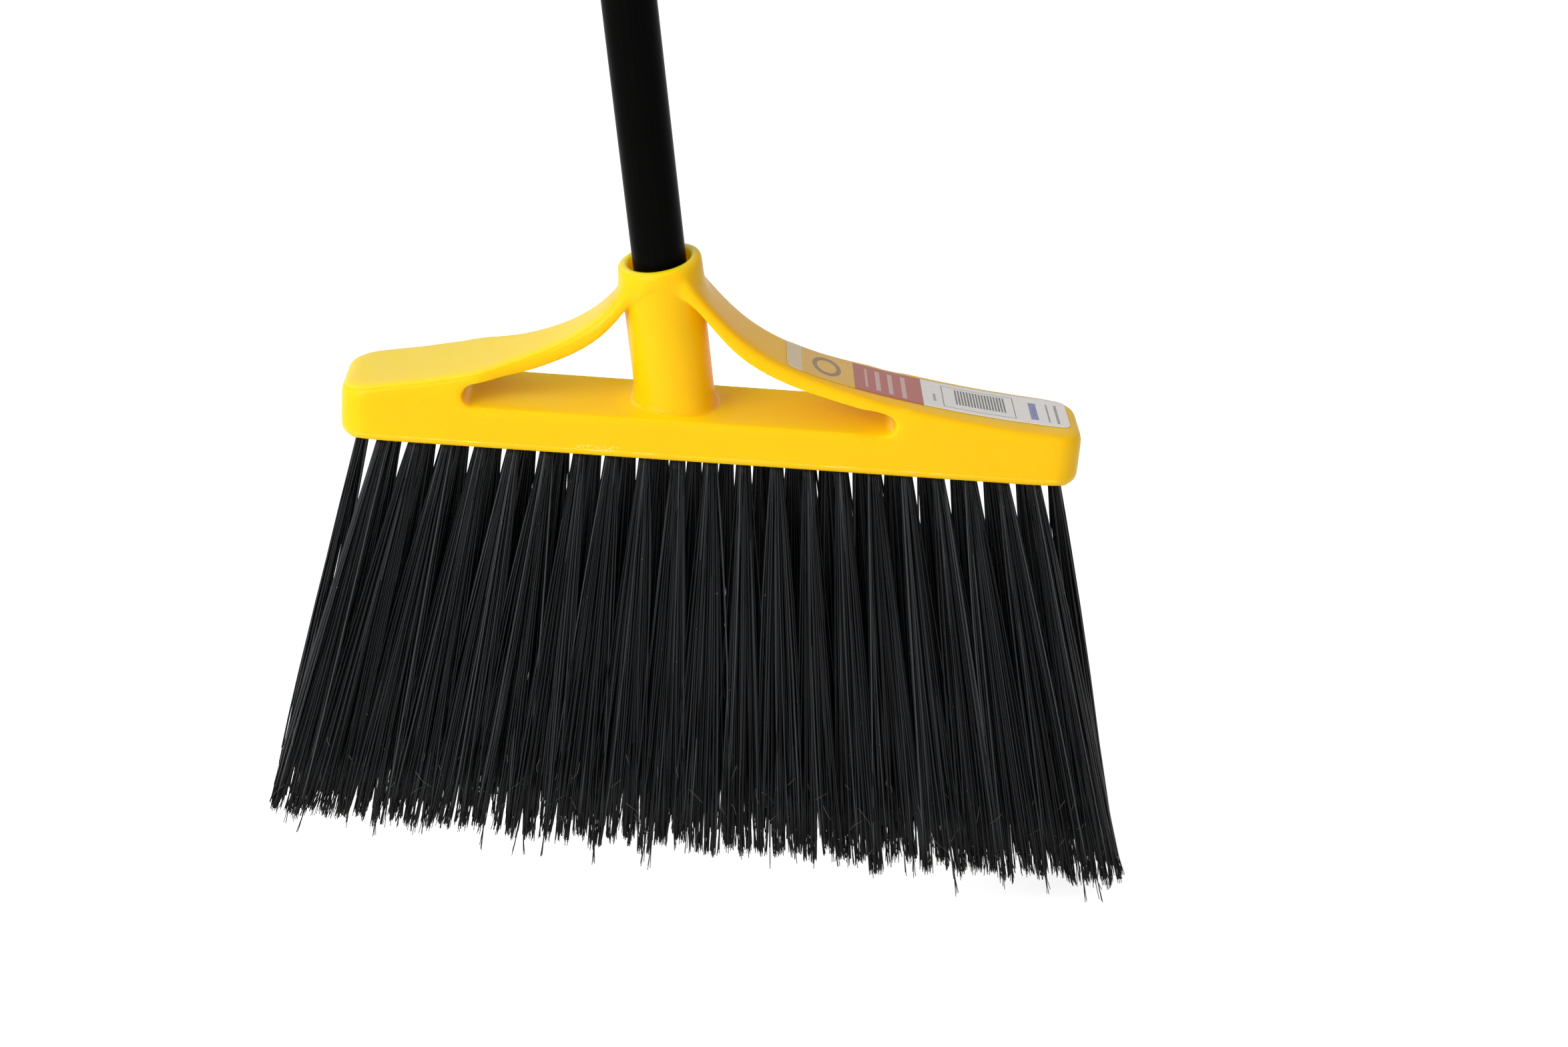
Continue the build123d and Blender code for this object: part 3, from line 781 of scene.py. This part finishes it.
def bristle_piece(number, name, field, finish):
    """One column's bristles, in place of its solids."""
    rng = np.random.default_rng(strand_seed + number)
    tufts = [tuft_strands(rng, place, field) for place in tuft_places(name)]
    strands = [np.concatenate(rows) for rows in zip(*tufts)]
    starts, ends, _ = strands
    strands.append(rng.normal(0, 1, starts.shape) * strand_bow)
    split = 1 - flag_length / np.linalg.norm(ends - starts, axis=1).mean()
    points, faces, along = joined([
        strand_bodies(rng, strands, split),
        split_tips(rng, strands, split),
        loose_hairs(rng, strands),
    ])
    mesh = bpy.data.meshes.new(f"bristles_{number:02d}")
    mesh.from_pydata(part_points(points).tolist(), [], faces)
    mesh.attributes.new("along", "FLOAT", "POINT").data.foreach_set("value", along.astype(np.float32))
    mesh.shade_smooth()
    mesh.materials.append(finish)
    piece = bpy.data.objects.new(mesh.name, mesh)
    bpy.context.scene.collection.objects.link(piece)
    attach(piece, "head")
    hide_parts(name)


def add_bristles():
    finish = bristle_black()
    columns = sorted(name for name in nodes if name.startswith("tuft_column_"))
    places = [place for name in columns for place in tuft_places(name)]
    tips = np.array([place[2][:2] for place in places])
    low, high = tips.min(0) - field_edge, tips.max(0) + field_edge
    field = (low, high, clump_grid(np.random.default_rng(clump_seed), low, high))
    for number, name in enumerate(columns, start=1):
        bristle_piece(number, name, field, finish)


def paint(name, material):
    slots = nodes[name].data.materials
    slots.clear()
    slots.append(material)


# Stage and light
floor_half = 12.0
floor_gap = 0.02
floor_colour = (0.86, 0.86, 0.86)
floor_roughness = 0.9
floor_lift = 0.58
bright_level = 1.0
dim_level = 0.04
dim_way = (0.68, 0.53, -0.51)
key_at = spot(-760, -780, 430)
key_size = 0.7
key_watts = 9.8


def seen_or_mirrored(tree):
    """1 for what the camera sees straight on, in a reflection or through a clear piece, else 0."""
    path = tree.nodes.new("ShaderNodeLightPath")
    level = path.outputs["Is Camera Ray"]
    for ray in ("Is Glossy Ray", "Is Transmission Ray"):
        either = tree.nodes.new("ShaderNodeMath")
        either.operation = "MAXIMUM"
        tree.links.new(level, either.inputs[0])
        tree.links.new(path.outputs[ray], either.inputs[1])
        level = either.outputs[0]
    return level


def add_floor():
    floor_z = cad_low.z - floor_gap
    corners = [(-1, -1), (1, -1), (1, 1), (-1, 1)]
    mesh = bpy.data.meshes.new("floor")
    mesh.from_pydata([(x * floor_half, y * floor_half, floor_z) for x, y in corners], [], [(0, 1, 2, 3)])
    material = bpy.data.materials.new("floor")
    material.use_nodes = True
    tree = material.node_tree
    shader = tree.nodes["Principled BSDF"]
    shader.inputs["Base Color"].default_value = rgba(*floor_colour)
    shader.inputs["Roughness"].default_value = floor_roughness
    shader.inputs["Specular IOR Level"].default_value = 0.0
    lift = tree.nodes.new("ShaderNodeMath")
    lift.operation = "MULTIPLY"
    lift.inputs[1].default_value = floor_lift
    tree.links.new(seen_or_mirrored(tree), lift.inputs[0])
    shader.inputs["Emission Color"].default_value = rgba(1, 1, 1)
    tree.links.new(lift.outputs[0], shader.inputs["Emission Strength"])
    mesh.materials.append(material)
    floor = bpy.data.objects.new("floor", mesh)
    bpy.context.scene.collection.objects.link(floor)


def add_world():
    """A soft white surround, brightest to the left, in front and above."""
    world = bpy.data.worlds.new("studio")
    world.use_nodes = True
    tree = world.node_tree
    back = tree.nodes["Background"]
    back.inputs["Color"].default_value = rgba(1, 1, 1)
    towards = tree.nodes.new("ShaderNodeVectorMath")
    towards.operation = "DOT_PRODUCT"
    towards.inputs[1].default_value = dim_way
    tree.links.new(tree.nodes.new("ShaderNodeTexCoord").outputs["Generated"], towards.inputs[0])
    side = tree.nodes.new("ShaderNodeMapRange")
    for socket, value in (("From Min", -1), ("From Max", 1), ("To Min", bright_level), ("To Max", dim_level)):
        side.inputs[socket].default_value = value
    tree.links.new(towards.outputs["Value"], side.inputs["Value"])
    level = tree.nodes.new("ShaderNodeMath")
    level.operation = "MAXIMUM"
    tree.links.new(side.outputs["Result"], level.inputs[0])
    tree.links.new(seen_or_mirrored(tree), level.inputs[1])
    tree.links.new(level.outputs[0], back.inputs["Strength"])
    bpy.context.scene.world = world


def add_key():
    light = bpy.data.lights.new("key", "AREA")
    light.size = key_size
    light.energy = key_watts
    lamp = bpy.data.objects.new("key", light)
    turn = (spot(0, 0, 0) - key_at).to_track_quat("-Z", "Y").to_matrix()
    lamp.matrix_world = Matrix.Translation(key_at) @ turn.to_4x4()
    bpy.context.scene.collection.objects.link(lamp)


add_camera()
add_floor()
add_world()
add_key()
add_label(head_shell(yellow_plastic()), label_film())
paint("handle_tube", black_coating())
paint("threaded_tip", black_plastic("tip_plastic", 0.45))
paint("hang_cap", black_plastic("cap_plastic", 0.5))
paint("tuft_anchors", bright_steel())
add_bristles()

bpy.context.scene.view_settings.view_transform = "Standard"
